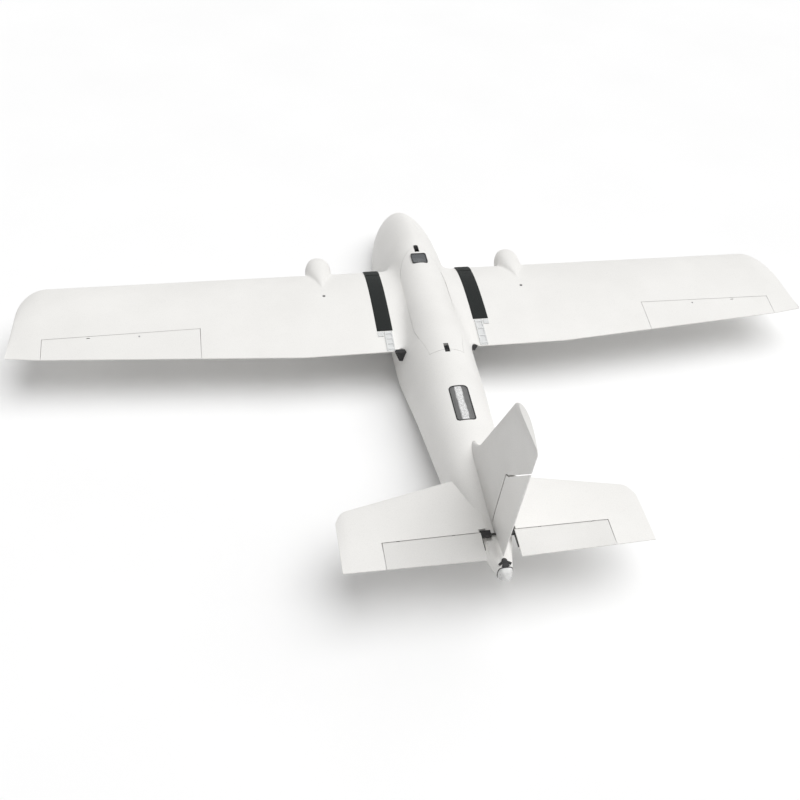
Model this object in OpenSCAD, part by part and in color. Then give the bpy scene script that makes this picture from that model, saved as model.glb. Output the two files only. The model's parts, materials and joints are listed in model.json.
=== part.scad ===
// Twin-nacelle fixed wing drone airframe: foam fuselage with a lift-off hatch, a wing in
// three sections joined by straps, conventional tail, and pin-hinged control surfaces
// driven by servos through pushrods. Millimetres, nose towards -Y, +Z up.

/* [Wing] */
// Wing span, tip to tip
span = 1800; // [1700:10:1900]
// Chord of the wing at the centre section
root_chord = 296; // [270:1:320]
// How far the trailing edge comes forward from root to tip
tip_sweep = 49; // [20:1:80]
// Wing thickness as a share of the chord
wing_thick = 0.112; // [0.09:0.002:0.14]
// Wing camber as a share of the chord
wing_camber = 0.028; // [0:0.002:0.04]
// Span station of the joint between centre section and outer panel
joint_x = 110; // [100:1:130]
// Span station of the nacelle centres
nacelle_x = 231; // [200:1:280]
// How far the nacelle face stands ahead of the leading edge
nacelle_reach = 49; // [35:1:70]
// Nacelle half width
nacelle_r = 30; // [26:1:34]

/* [Ailerons] */
// Inner end of the aileron cut-out
ail_in = 505; // [480:1:560]
// Outer end of the aileron cut-out
ail_out = 830; // [760:1:835]
// Hinge line, ahead of the root trailing edge
ail_hinge = 107; // [90:1:120]
// Width of the running gap round a control surface
gap = 0.7; // [0.5:0.1:1.5]

/* [Fuselage] */
// Nose tip, ahead of the root trailing edge
nose_y = 607; // [570:1:630]
// Length of the rounded nose
nose_len = 270; // [220:1:300]
// Largest half width of the fuselage
body_w = 85; // [70:1:90]
// Height of the spine above the wing plane
spine_z = 65; // [55:1:75]
// Depth of the belly below the wing plane
belly_z = 98; // [85:1:110]
// End of the tail cone, behind the root trailing edge
cone_y = 604; // [580:1:620]
// Foam wall thickness
wall = 8; // [6:0.5:12]

/* [Tail] */
// Half span of the tailplane
tail_half = 284; // [240:1:320]
// Height of the tailplane above the wing plane
tail_z = 24; // [20:1:30]
// Elevator hinge line
elev_y = 536.5; // [525:0.5:540]
// Height of the fin top above the wing plane
fin_top = 342; // [300:1:360]
// Rudder hinge at the foot
rud_y = 515; // [500:1:520]
// Backward lean of the rudder hinge, degrees from vertical
rud_lean = 11.5; // [5:0.5:15]

/* [Linkages] */
// Aileron servo arm length, hole to shaft
ail_arm = 19; // [17:0.5:22]
// Tail servo arm length, hole to shaft
tail_arm = 15; // [13:0.5:18]
// Aileron pushrod length
ail_rod = 58; // [50:1:65]
// Tail pushrod length
tail_rod = 50; // [45:1:60]
// Pushrod wire radius
wire_r = 0.8; // [0.6:0.1:1]

/* [Motor mount] */
// Bolt circle of the motor plate
motor_pcd = 25; // [19:1:30]
// Radius of the motor plate's bolt holes
motor_hole_r = 1.6; // [1.5:0.1:2.1]

/* [Hidden] */
half = span / 2;
tip_x = half - 65;
y_off = (nose_y - 645) / 2;
z_off = belly_z;
nose_z = -70;
hatch_y0 = -313;
vent_y = 221;
hatch_y1 = 65;
window_y = -268;
ail_st = 632;
elev_st = 120;
rud_st = 66;
spar_y = -200;
rear_y = -70;
tube_y = 462;
foam = [0.93, 0.92, 0.89];
black = [0.12, 0.12, 0.12];

// ---- helpers ----
function mix(a, b, t) = a + (b - a) * t;
function clamp(t) = min(1, max(0, t));
function ease(t) = clamp(t) * clamp(t) * (3 - 2 * clamp(t));
function sum(v, i = 0) = i == len(v) - 1 ? v[i] : v[i] + sum(v, i + 1);
function newell(r) = sum([for (j = [0:len(r) - 1]) cross(r[j], r[(j + 1) % len(r)])]);
function spow(v, e) = sign(v) * pow(abs(v), e);

// A closed solid through a list of rings, each the same number of points
module loft(rings) {
  n = len(rings[0]);
  m = len(rings);
  d = sum(rings[m - 1]) / n - sum(rings[0]) / n;
  fwd = newell(rings[floor(m / 2)]) * d > 0;
  quads = [for (i = [0:m - 2]) for (j = [0:n - 1]) let (k = (j + 1) % n)
    [i * n + j, (i + 1) * n + j, (i + 1) * n + k, i * n + k]];
  tris = [for (q = quads) each [[q[0], q[1], q[2]], [q[0], q[2], q[3]]]];
  ends = [[for (j = [0:n - 1]) j], [for (j = [n - 1:-1:0]) (m - 1) * n + j]];
  all_faces = concat(tris, ends);
  faces = fwd ? all_faces : [for (f = all_faces) [for (i = [len(f) - 1:-1:0]) f[i]]];
  polyhedron(points = [for (r = rings) each r], faces = faces, convexity = 12);
}

// Groups the freeform foam shapes, so that round bores are cut from the finished shape
module meshed() {
  resize([0, 0, 0]) children();
}

module place() {
  translate([0, y_off, z_off]) children();
}

module sides(s) {
  mirror([s < 0 ? 1 : 0, 0, 0]) children();
}

module rounded(x, y, r) {
  translate([-x / 2 + r, -y / 2]) square([x - 2 * r, y]);
  translate([-x / 2, -y / 2 + r]) square([x, y - 2 * r]);
  for (i = [-1, 1]) for (j = [-1, 1]) translate([i * (x / 2 - r), j * (y / 2 - r)]) circle(r);
}

// ---- fuselage surface ----
function nose_t(y, y1) = clamp((y1 - y) / (nose_y + y1));
function body_hw(y) = y < 0
  ? mix(body_w, body_w + 1, (y + 300) / 300) * pow(1 - pow(nose_t(y, nose_len - nose_y), 2.5), 0.5)
  : y < 405 ? mix(body_w + 1, 61, y / 405) : mix(61, 14, (y - 405) / (cone_y - 405));
function bulge(y) = mix(1.78, 2.05, ease((y + 440) / 260)) + 1.5 * ease((y - 330) / 90);
function waist(y) = mix(0.14, 0.36, ease((y + 60) / 260));
function body_top(y) = y < 0
  ? nose_z + (spine_z - nose_z) * pow(1 - pow(nose_t(y, nose_len + 30 - nose_y), 2.2), 0.52)
  : y < 354 ? mix(spine_z, 50, ease(y / 354)) : mix(50, 14, ease((y - 395) / 190));
function body_bot(y) = y < 0
  ? nose_z - (belly_z + nose_z) * pow(1 - pow(nose_t(y, nose_len - 20 - nose_y), 2.4), 0.52)
  : mix(-belly_z, -14, pow(clamp((y - 40) / (cone_y - 40)), 1.15));
function body_ring(y, t, n = 36) = let (w = body_hw(y) - t, top = body_top(y) - t,
  bot = body_bot(y) + t, zc = mix(bot, top, waist(y)), dip = 1.12)
  [for (j = [0:n - 1]) let (s = sin(360 * j / n), c = cos(360 * j / n))
    [w * spow(s, 2 / bulge(y)), y,
     c > 0 ? zc + (top - zc) * spow(c, 2 / bulge(y))
           : max(bot, zc + (zc - bot) * dip * spow(c, 2 / 3))]];
function body_z(x, y) = let (top = body_top(y), zc = mix(body_bot(y), top, waist(y)))
  zc + (top - zc) * pow(max(0, 1 - pow(abs(x) / body_hw(y), bulge(y))), 1 / bulge(y));
function stations(y0, y1) = concat(
  [for (i = [1:9]) let (y = -nose_y + nose_len * (1 - cos(i * 10))) if (y > y0) y],
  [for (i = [1:13]) let (y = mix(nose_len - nose_y, 380, i / 13)) if (y > y0 && y < y1 - 4) y],
  [for (i = [1:8]) let (y = mix(380, cone_y, i / 9)) if (y < y1 - 4) y]);

module body_solid(t, y0, y1, n = 36) {
  loft([for (y = concat([y0], stations(y0 + 1, y1), [y1])) body_ring(y, t, n)]);
}

// ---- wing surface ----
function lead_y(x) = x < tip_x ? -root_chord
  : x < tip_x + 57 ? -root_chord + 88 * (1 - sqrt(max(0, 1 - pow((x - tip_x) / 57, 2))))
  : mix(88 - root_chord, -70, (x - tip_x - 57) / (half - tip_x - 57));
function trail_y(x) = -8 - (x < 290 ? 0 : x < tip_x ? tip_sweep * (x - 290) / (tip_x - 290)
  : tip_sweep + 11 * (x - tip_x) / (half - tip_x));
function tip_f(x) = x < tip_x ? 1 : mix(1, 0.35, pow((x - tip_x) / (half - tip_x), 2));
function naca(u) = 5 * wing_thick * (0.2969 * sqrt(u) - 0.126 * u - 0.3516 * u * u
  + 0.2843 * pow(u, 3) - 0.1036 * pow(u, 4));
function arch(u) = u < 0.4 ? wing_camber * (0.8 * u - u * u) / 0.16
  : wing_camber * (0.2 + 0.8 * u - u * u) / 0.36;
// v runs from -1 at the lower trailing edge through 0 at the nose to 1 at the upper edge
function wing_yz(x, v) = let (u = abs(v), c = trail_y(x) - lead_y(x))
  [lead_y(x) + u * c,
   4 + 3 * (1 - u) + arch(u) * c + sign(v) * (naca(u) * c * tip_f(x) + 0.9 * u)];
function wing_n(x, v) = let (e = 0.004, a = wing_yz(x, max(-1, v - e)),
  b = wing_yz(x, min(1, v + e)), t = b - a, l = norm(t)) [-t[1] / l, t[0] / l];
function wing_at(x, v, o = 0) = let (p = wing_yz(x, v), q = o == 0 ? [0, 0] : wing_n(x, v) * o)
  [x, p[0] + q[0], p[1] + q[1]];
function fan(m) = [for (i = [-m:m]) sign(i) * (1 - cos(90 * i / m))];
function u_of(x, y) = (y - lead_y(x)) / (trail_y(x) - lead_y(x));
function wing_zt(x, y) = wing_yz(x, u_of(x, y))[1];
function wing_zb(x, y) = wing_yz(x, -u_of(x, y))[1];
function wing_ring(x, m = 12) = [for (v = fan(m)) wing_at(x, v)];

module wing_skin(xs, v0, v1, o0, o1, m) {
  loft([for (x = xs) concat([for (i = [0:m]) wing_at(x, mix(v0, v1, i / m), o1)],
    [for (i = [m:-1:0]) wing_at(x, mix(v0, v1, i / m), o0)])]);
}

// A skin over the chosen chord positions, following the same stations as the wing itself
module strap_skin(xs, v0, v1, o0, o1) {
  vs = concat([v0], [for (v = fan(12)) if (v > v0 + 0.03 && v < v1 - 0.03) v], [v1]);
  n = len(vs) - 1;
  loft([for (x = xs) concat([for (i = [0:n]) wing_at(x, vs[i], o1)],
    [for (i = [n:-1:0]) wing_at(x, vs[i], o0)])]);
}

module wing_solid() {
  loft([for (x = [joint_x + 0.2, 200, 290, 430, 570, 700, tip_x, tip_x + 15, tip_x + 29,
    tip_x + 41, tip_x + 50, tip_x + 55.5, tip_x + 60, half]) wing_ring(x)]);
}

// Centre-section stub, swelling into a fillet at the fuselage side
module stub() {
  loft([for (x = [0, 40, 56, 64, 72, 80, 86, 92, joint_x]) let (k = pow(clamp((92 - x) / 50), 2))
    [for (p = wing_ring(x)) [x, p[1] + (p[1] > -150 ? 10 : -6) * k, (p[2] - 6) * (1 + 0.3 * k) + 6]]]);
}

// ---- ailerons ----
function ail_z() = (wing_zt(670, -ail_hinge) + wing_zb(670, -ail_hinge)) / 2;
function round_front(x, y, z, zt, zb, g, n = 8) = [for (i = [0:n]) let (a = 180 * i / n,
  r = mix(zt - z, z - zb, i / n) + g) [x, y - r * sin(a), z + r * cos(a)]];
function ail_ring(x) = concat(
  [for (i = [5:-1:1]) let (y = mix(-ail_hinge, trail_y(x), i / 5)) [x, y, wing_zt(x, y)]],
  round_front(x, -ail_hinge, ail_z(), wing_zt(x, -ail_hinge), wing_zb(x, -ail_hinge), 0),
  [for (i = [1:5]) let (y = mix(-ail_hinge, trail_y(x), i / 5)) [x, y, wing_zb(x, y)]]);
function ail_cove(x) = concat([[x, 20, 60], [x, -ail_hinge, 60]],
  round_front(x, -ail_hinge, ail_z(), wing_zt(x, -ail_hinge), wing_zb(x, -ail_hinge), gap),
  [[x, -ail_hinge, -60], [x, 20, -60]]);

module ail_frame() {
  translate([ail_st, -ail_hinge, ail_z()]) children();
}

// ---- generic linkage, drawn on its hinge axis: X along the hinge, Y aft, arm down ----
module servo(l, th, ht) {
  ln = th * 1.95;
  translate([-3 - ht, -l - ln + th / 2, -th / 2]) cube([ht, ln, th]);
  translate([-3 - ht * 0.28, -l - ln + th / 2 - 4, -th / 2]) cube([1.6, ln + 8, th]);
  translate([-3, -l, 0]) rotate([0, 90, 0]) cylinder(r = th * 0.45, h = 1.6);
  translate([-1.4, -l, 0]) rotate([0, 90, 0]) cylinder(r = 2, h = 4.4);
}

module servo_pocket(l, th, ht, r) {
  ln = th * 1.95;
  translate([-3.4 - ht, -l - ln + th / 2 - 4.4, -40]) cube([ht + 9, ln + 14, 40 + th / 2]);
}

module arm(l, r) {
  difference() {
    union() {
      translate([0, -l, 0]) rotate([0, 90, 0]) cylinder(r = 3.8, h = 2.2);
      translate([0, -l, -r]) rotate([0, 90, 0]) cylinder(r = 2.1, h = 2.2);
      translate([0, -l, 0]) rotate([90, 0, 90])
        linear_extrude(2.2) polygon([[-3.4, -1], [3.4, -1], [2, -r], [-2, -r]]);
    }
    translate([-1, -l, 0]) rotate([0, 90, 0]) cylinder(r = 2.05, h = 5);
    translate([-1, -l, -r]) rotate([0, 90, 0]) cylinder(r = wire_r + 0.05, h = 5);
  }
}

module rod(l, r) {
  translate([3.5, -l, -r]) rotate([-90, 0, 0]) cylinder(r = wire_r, h = l);
  for (y = [-l, 0]) {
    translate([3.5, y, -r]) sphere(wire_r);
    translate([-1.6, y, -r]) rotate([0, 90, 0]) cylinder(r = wire_r, h = 5.1);
  }
}

module horn(r, s) {
  difference() {
    union() {
      translate([0, 0, -r]) rotate([0, 90, 0]) cylinder(r = 2.3, h = 2.2);
      rotate([90, 0, 90]) linear_extrude(2.2)
        polygon([[2.2, -r + 0.6], [-2.2, -r - 0.2], [-0.5, -r + 4], [4, -s - 0.01], [15, -s - 0.01]]);
      translate([-4, 3.5, -s - 1.2]) cube([10, 13, 2.6]);
    }
    translate([-1, 0, -r]) rotate([0, 90, 0]) cylinder(r = wire_r + 0.05, h = 5);
  }
}

module horn_seat(s) {
  translate([-4.05, 3.45, -s - 20]) cube([10.1, 13.1, 21.45]);
}

module hinge(d) {
  rotate([0, 90, 0]) cylinder(r = 1, h = 16, center = true);
  rotate([0, 90, 0]) cylinder(r = 2.4, h = 6, center = true);
  translate([-3, -d, -1.2]) cube([6, d, 2.4]);
}

module hinge_slot(d) {
  translate([-3.05, -d - 0.05, -1.25]) cube([6.1, d, 2.5]);
}

module hinge_notch(r) {
  translate([-3.6, -r - 2, -0.7 * r - 0.5]) cube([7.2, r + 6, 1.4 * r + 1]);
}

module hinge_bore() {
  rotate([0, 90, 0]) cylinder(r = 1.05, h = 16.6, center = true);
}

// ---- tailplane ----
function tail_lead(x) = 387.4 + 0.236 * x + (x > 262 ? 22 * pow((x - 262) / 22, 2.4) : 0);
function tail_trail(x) = 593 - 0.018 * x;
function tail_th(x) = x > 262 ? mix(1, 0.4, pow((x - 262) / 22, 2)) : 1;
function tail_h(x, u) = let (c = tail_trail(x) - tail_lead(x))
  naca(u) / wing_thick * 0.078 * c * tail_th(x) + 0.8 * u;
function tail_hy(x, y) = tail_h(x, (y - tail_lead(x)) / (tail_trail(x) - tail_lead(x)));
function tail_ring(x, m = 9) = [for (v = fan(m)) let (u = abs(v))
  [x, mix(tail_lead(x), tail_trail(x), u), tail_z + sign(v) * tail_h(x, u)]];
function elev_ring(x) = concat(
  [for (i = [4:-1:1]) let (y = mix(elev_y, tail_trail(x), i / 4)) [x, y, tail_z + tail_hy(x, y)]],
  round_front(x, elev_y, tail_z, tail_z + tail_hy(x, elev_y), tail_z - tail_hy(x, elev_y), 0),
  [for (i = [1:4]) let (y = mix(elev_y, tail_trail(x), i / 4)) [x, y, tail_z - tail_hy(x, y)]]);
function elev_cove(x) = concat([[x, 620, 70], [x, elev_y, 70]],
  round_front(x, elev_y, tail_z, tail_z + tail_hy(x, elev_y), tail_z - tail_hy(x, elev_y), gap + 0.4),
  [[x, elev_y, -20], [x, 620, -20]]);

module tail_solid() {
  loft([for (x = [20, 60, 150, 230, 262, 270, 276, 281, tail_half]) tail_ring(x)]);
}

module elev_frame() {
  translate([elev_st, elev_y, tail_z]) children();
}

// ---- fin and rudder, drawn as sections stacked up the fin ----
function fin_lead(z) = 354 + 0.606 * (z - 54) + (z > fin_top - 14 ? 9 * pow((z - fin_top + 14) / 14, 2) : 0)
  - 60 * pow(clamp((95 - z) / 70), 2);
function fin_trail(z) = 582 + 0.196 * (z - 12) - (z > fin_top - 10 ? 8 * pow((z - fin_top + 10) / 10, 2) : 0);
function fin_k(z) = z > fin_top - 12 ? mix(1, 0.66, pow((z - fin_top + 12) / 12, 2)) : 1;
function fin_h(z, u) = let (c = fin_trail(z) - fin_lead(z))
  (naca(u) / wing_thick * min(0.14 * c, mix(22, 17, z / fin_top)) + 0.9 * u) * fin_k(z);
function fin_hy(z, y) = fin_h(z, clamp((y - fin_lead(z)) / (fin_trail(z) - fin_lead(z))));
function fin_ring(z, m = 10) = [for (v = fan(m)) let (u = abs(v))
  [sign(v) * fin_h(z, u), mix(fin_lead(z), fin_trail(z), u),
   z + 5 * clamp((z - fin_top + 40) / 40) * 4 * u * (1 - u)]];
function rud_at(z) = rud_y + tan(rud_lean) * (z - 20);
function rud_r(z) = fin_hy(z, rud_at(z));
function rud_ring(z, g) = concat([for (i = [0:8]) let (a = 180 * i / 8, r = rud_r(z) + g)
  [r * cos(a), rud_at(z) - r * sin(a), z]],
  g > 0 ? [[-40, rud_at(z), z], [-40, 700, z], [40, 700, z], [40, rud_at(z), z]]
  : concat([for (i = [1:5]) let (y = mix(rud_at(z), fin_trail(z), i / 5)) [-fin_hy(z, y), y, z]],
    [for (i = [5:-1:1]) let (y = mix(rud_at(z), fin_trail(z), i / 5)) [fin_hy(z, y), y, z]]));

// Side outline of the rudder: sloping foot, slanted head rising to the rear
module rud_outline(g) {
  rotate([90, 0, 90]) linear_extrude(80, center = true) polygon([
    [480, 41 - g * 1.2], [700, -7 - g * 1.2], [700, 354 + g * 1.6], [590, 231.4 + g * 2.6],
    [575, 214.7 + g * 4.2], [560, 198 + g * 4.1], [545, 187 + g * 3.3], [535, 183 + g * 1.4], [480, 183 + g * 1.2]]);
}

module fin_solid() {
  loft([for (z = [20, 35, 50, 65, 85, 110, 150, 200, 260, fin_top - 14, fin_top - 9,
    fin_top - 5, fin_top - 2, fin_top]) fin_ring(z)]);
}

module rud_block(g) {
  intersection() {
    loft([for (z = [0, 15, 37, 60, 100, 150, 200, 250, 300]) rud_ring(z, g)]);
    rud_outline(g > 0 ? 1 : 0);
  }
}

// X runs down the rudder hinge, Y aft, and the arm points to -X of the aircraft
module rud_frame(d = rud_st) {
  translate([0, rud_at(20), 20]) rotate([-rud_lean, 0, 0]) translate([0, 0, d])
    rotate([0, 90, 0]) children();
}

// ---- nacelle ----
function nac_ring(y, n = 28) = let (f = -root_chord - nacelle_reach,
  a = y < -315 ? sqrt(max(0, 1 - pow((-315 - y) / (-315 - f + 14), 2))) : 1,
  b = y > -290 ? 1 - 0.93 * ease((y + 300) / 108) : 1,
  w = nacelle_r * a * b, zc = mix(2, 12, ease((y + 310) / 110)),
  h = nacelle_r * a * mix(0.52, 1, b))
  [for (j = [0:n - 1]) let (s = sin(360 * j / n), c = cos(360 * j / n))
    [nacelle_x + w * spow(s, 2 / 2.2), y, zc + h * (c < 0 ? mix(1, 1.35, b * b) : 1) * spow(c, 2 / 2.2)]];

module nac_solid() {
  f = -root_chord - nacelle_reach;
  loft([for (y = [f, f + 2, f + 5, f + 10, f + 18, f + 30, -300, -285, -270, -255, -240, -225, -210,
    -198, -190]) nac_ring(y)]);
}

// ---- hatch ----
module hatch_plan(o) {
  polygon([for (s = [1, -1]) for (i = [0:12]) let (t = s > 0 ? i / 12 : 1 - i / 12,
    y = mix(hatch_y0 - o, hatch_y1 + o, t), f = sqrt(clamp((y - hatch_y0 + o) / 120) * (2 - clamp((y - hatch_y0 + o) / 120))),
    w = mix(0, 52, f) - 15 * ease((y + 40) / 110)) [s * max(3, w + o), y]]);
}

module hatch_prism(o) {
  translate([0, 0, 0]) linear_extrude(120) hatch_plan(o);
}

module shell_band(t0, t1) {
  difference() {
    body_solid(t0, -nose_y + 1 + t0 * 1.2, cone_y);
    body_solid(t1, -nose_y + 1 + t1 * 1.2, cone_y + 1);
  }
}

module foam_body() {
  difference() {
    union() {
      body_solid(0, -nose_y + 1, cone_y);
      stub();
      mirror([1, 0, 0]) stub();
    }
    body_solid(wall, -nose_y + 14, 380, 28);
    difference() {
      hatch_prism(0.4);
      body_solid(wall / 2 + 0.2, -nose_y + 8, 200);
    }
    hatch_prism(-5.6);
    latch_seats();
    translate([0, vent_y, 0]) linear_extrude(90) rounded(40.4, 95.4, 8);
    joiner_room();
    fin_foot();
    rud_block(1.4);
    tail_gap(1);
    tail_gap(-1);
  }
}

// Room beside the tail cone for the inner ends of the elevators
module tail_gap(s) {
  translate([s > 0 ? 20 : -60, elev_y - 9, tail_z - 16]) cube([40, 70, 40]);
}

// Room round the elevator joiner and its lugs
module joiner_room() {
  translate([0, elev_y, tail_z]) rotate([0, 90, 0]) {
    cylinder(r = 5.2, h = 80, center = true, $fn = 40);
    for (s = [-1, 1]) translate([0, 0, s * 22.5]) cylinder(r = 11.4, h = 23, center = true, $fn = 48);
  }
}

// The fin stands in a shallow seat, so nothing of it reaches the space inside
module fin_foot() {
  difference() {
    fin_solid();
    body_solid(5, -nose_y + 10, cone_y);
  }
}

module spar_bores() {
  translate([-400, spar_y, 14]) rotate([0, 90, 0]) cylinder(r = 6.05, h = 800);
  translate([-220, rear_y, 9]) rotate([0, 90, 0]) cylinder(r = 4.05, h = 440);
}

module fuselage(s) {
  color(foam) difference() {
    meshed() intersection() {
      foam_body();
      translate([s > 0 ? 0 : -200, -700, -200]) cube([200, 1400, 500]);
    }
    spar_bores();
    translate([0, tube_y, tail_z]) rotate([0, 90, 0]) cylinder(r = 3.05, h = 300, center = true);
  }
}

module hatch() {
  color(foam) difference() {
    meshed() difference() {
      union() {
        intersection() {
          shell_band(0, wall / 2 - 0.2);
          hatch_prism(-0.4);
        }
        intersection() {
          shell_band(wall / 2 - 0.3, wall);
          hatch_prism(-6.4);
        }
      }
      translate([0, window_y, 55]) linear_extrude(20) rounded(36.2, 38.2, 5);
      translate([0, window_y, 40]) linear_extrude(30) rounded(28, 30, 3);
      latch_seats();
    }
  }
}

// Frame of a hatch latch: the seam at Y 0, the hatch on its -Y side, the skin at Z 0
module latch_frame(s) {
  y = s > 0 ? hatch_y1 : hatch_y0;
  translate([0, y, body_z(0, y)]) mirror([0, s < 0 ? 1 : 0, 0]) children();
}

// Sliding latch: a ribbed thumb pad that crosses the seam, held under the hatch by a wider foot
module latch(s) {
  color(black) latch_frame(s) {
    translate([-5, -11, -5.2]) cube([10, 13, 5.8]);
    translate([0, 2, -5.2]) cylinder(r = 5, h = 5.8);
    translate([-7.5, -11, -7.9]) cube([15, 4, 2.8]);
    for (i = [0:3]) translate([-4, -10 + i * 3, 0.5]) cube([8, 1.2, 1]);
  }
}

module latch_seats() {
  for (s = [-1, 1]) latch_frame(s) {
    translate([-5.4, -19.6, -5.4]) cube([10.8, 27.2, 40]);
    translate([-7.9, -19.6, -8.6]) cube([15.8, 13, 3.8]);
  }
}

module window_rim() {
  color(black) place() translate([0, window_y, 57]) linear_extrude(8.3) difference() {
    rounded(36, 38, 5);
    rounded(33, 35, 4);
  }
}

module window_pane() {
  color([0.35, 0.37, 0.38]) place() translate([0, window_y, 61.5])
    linear_extrude(2.5) rounded(32.8, 34.8, 3.9);
}

module gps_module() {
  color([0.75, 0.75, 0.72]) place() {
    translate([0, window_y, 46]) linear_extrude(7) rounded(32, 34, 4);
    translate([4.5, window_y + 6, 52.9]) linear_extrude(7.6) rounded(17, 15, 2);
  }
}

module body_patch(cy, lx, ly, r, o0, o1) {
  intersection() {
    loft([for (i = [0:8]) let (y = cy - ly / 2 - 2 + i * (ly + 4) / 8)
      concat([for (j = [0:8]) let (x = (lx / 2 + 2) * (j / 4 - 1)) [x, y, body_z(x, y) + o1]],
        [for (j = [8:-1:0]) let (x = (lx / 2 + 2) * (j / 4 - 1)) [x, y, body_z(x, y) + o0]])]);
    translate([0, cy, 0]) linear_extrude(90) rounded(lx, ly, r);
  }
}

module vent_rim() {
  color(black) place() meshed() difference() {
    body_patch(vent_y, 40, 95, 8, -6, 0.8);
    translate([0, vent_y, 0]) linear_extrude(90) rounded(36.6, 91.6, 6.3);
  }
}

module vent_plate() {
  color([0.6, 0.61, 0.62]) place() meshed() body_patch(vent_y, 36.4, 91.4, 6.2, -4, -0.5);
}

module wing(s) {
  color(foam) place() sides(s) difference() {
    meshed() difference() {
      wing_solid();
      loft([for (x = [ail_in, 600, 700, ail_out]) ail_cove(x)]);
      ail_frame() servo_pocket(ail_rod, 12, 20, ail_arm);
      for (x = [605, 736]) translate([x, -ail_hinge, ail_z()]) hinge_slot(18);
      translate([nacelle_x, -root_chord - 5, 4]) cube([26, 60, 12], center = true);
    }
    translate([100, spar_y, 14]) rotate([0, 90, 0]) cylinder(r = 6.05, h = 300);
    translate([100, rear_y, 9]) rotate([0, 90, 0]) cylinder(r = 4.05, h = 120);
    translate([nacelle_x, -188, 14]) cylinder(r = 3.6, h = 30);
  }
}

module nacelle(s) {
  f = -root_chord - nacelle_reach;
  color(foam) place() sides(s) difference() {
    meshed() difference() {
      nac_solid();
      wing_solid();
    }
    translate([nacelle_x, f - 1, 3]) rotate([-90, 0, 0]) cylinder(r = 19.05, h = 4);
    translate([nacelle_x, f + 2, 3]) rotate([-90, 0, 0]) cylinder(r = 16, h = 60);
  }
}

module motor_plate(s) {
  f = -root_chord - nacelle_reach;
  color([0.3, 0.3, 0.31]) place() sides(s) translate([nacelle_x, f, 3]) rotate([-90, 0, 0])
    difference() {
      cylinder(r = 19, h = 3);
      translate([0, 0, -1]) cylinder(r = 5, h = 5);
      for (a = [45:90:315]) rotate(a) translate([motor_pcd / 2, 0, -1]) cylinder(r = motor_hole_r, h = 5);
    }
}

module speed_controllers() {
  f = -root_chord - nacelle_reach;
  color([0.15, 0.17, 0.3]) place() for (s = [1, -1]) sides(s)
    translate([nacelle_x - 11, f + 5, -2]) cube([22, 43, 9]);
}

module nacelle_bolts() {
  color([0.45, 0.45, 0.46]) place() for (s = [1, -1]) sides(s) translate([nacelle_x, -188, 14])
    difference() {
      cylinder(r = 3.5, h = wing_zt(nacelle_x, -188) - 15.4);
      translate([0, 0, wing_zt(nacelle_x, -188) - 17.4]) cylinder(r = 1.5, h = 5, $fn = 6);
    }
}

// The left strap reaches a little further back than the right one
function strap_end(s) = s > 0 ? 0.8 : 0.735;

module wing_strap(s) {
  color(black) place() sides(s) meshed() strap_skin([joint_x - 17, joint_x + 18], -0.78, strap_end(s), 0.35, 1.8);
}

// Clear cover over the rear of the joint: a floor with raised edges and cross ribs
module joint_cover(s) {
  v0 = strap_end(s) + 0.01;
  color([0.8, 0.82, 0.84]) place() sides(s) meshed() union() {
    wing_skin([joint_x - 15, joint_x + 3], v0, 0.995, 0.25, 1.2, 5);
    wing_skin([joint_x - 14.6, joint_x - 12.3], v0 + 0.004, 0.99, 0.7, 3.2, 6);
    wing_skin([joint_x + 0.3, joint_x + 2.6], v0 + 0.004, 0.99, 0.7, 3.2, 6);
    for (i = [0:3]) let (v = mix(v0 + 0.012, 0.967, i / 3))
      wing_skin([joint_x - 13, joint_x + 1], v, v + 0.015, 0.75, 2.8, 1);
    wing_skin([joint_x + 5, joint_x + 17], v0, v0 + 0.045, 0.25, 2.2, 2);
  }
}

module root_bracket(s) {
  color(black) place() sides(s) meshed() difference() {
    translate([0, s > 0 ? -1 : -20, 0]) rotate([90, 0, 0]) linear_extrude(15)
      polygon([[70, 6], [97, 6], [87, -18], [78, -18]]);
    body_solid(-0.1, -nose_y + 1, cone_y);
    translate([0, 0, -0.1]) stub();
    translate([0, 0, 0.1]) stub();
  }
}

module main_spar() {
  color(black) place() translate([-396, spar_y, 14]) rotate([0, 90, 0]) difference() {
    cylinder(r = 6, h = 792);
    translate([0, 0, -1]) cylinder(r = 5, h = 794);
  }
}

module rear_spar() {
  color(black) place() translate([-216, rear_y, 9]) rotate([0, 90, 0]) difference() {
    cylinder(r = 4, h = 432);
    translate([0, 0, -1]) cylinder(r = 3, h = 434);
  }
}

module aileron(s) {
  color(foam) place() sides(s) difference() {
    meshed() difference() {
      loft([for (x = [ail_in + 1, 600, 700, ail_out - 1]) ail_ring(x)]);
      ail_frame() horn_seat(wing_half());
      for (x = [605, 736]) translate([x, -ail_hinge, ail_z()]) hinge_notch(9);
    }
    for (x = [605, 736]) translate([x, -ail_hinge, ail_z()]) hinge_bore();
  }
}

function wing_half() = ail_z() - wing_zb(ail_st, -ail_hinge + 8);

module aileron_hinges(s) {
  color(black) place() sides(s) for (x = [605, 736]) translate([x, -ail_hinge, ail_z()]) hinge(18);
}

module aileron_servo(s) {
  color([0.18, 0.18, 0.2]) place() sides(s) ail_frame() servo(ail_rod, 12, 20);
}

module aileron_arm(s) {
  color([0.85, 0.85, 0.85]) place() sides(s) ail_frame() arm(ail_rod, ail_arm);
}

module aileron_rod(s) {
  color([0.7, 0.7, 0.72]) place() sides(s) ail_frame() rod(ail_rod, ail_arm);
}

module aileron_horn(s) {
  color(black) place() sides(s) ail_frame() horn(ail_arm, wing_half());
}

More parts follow.
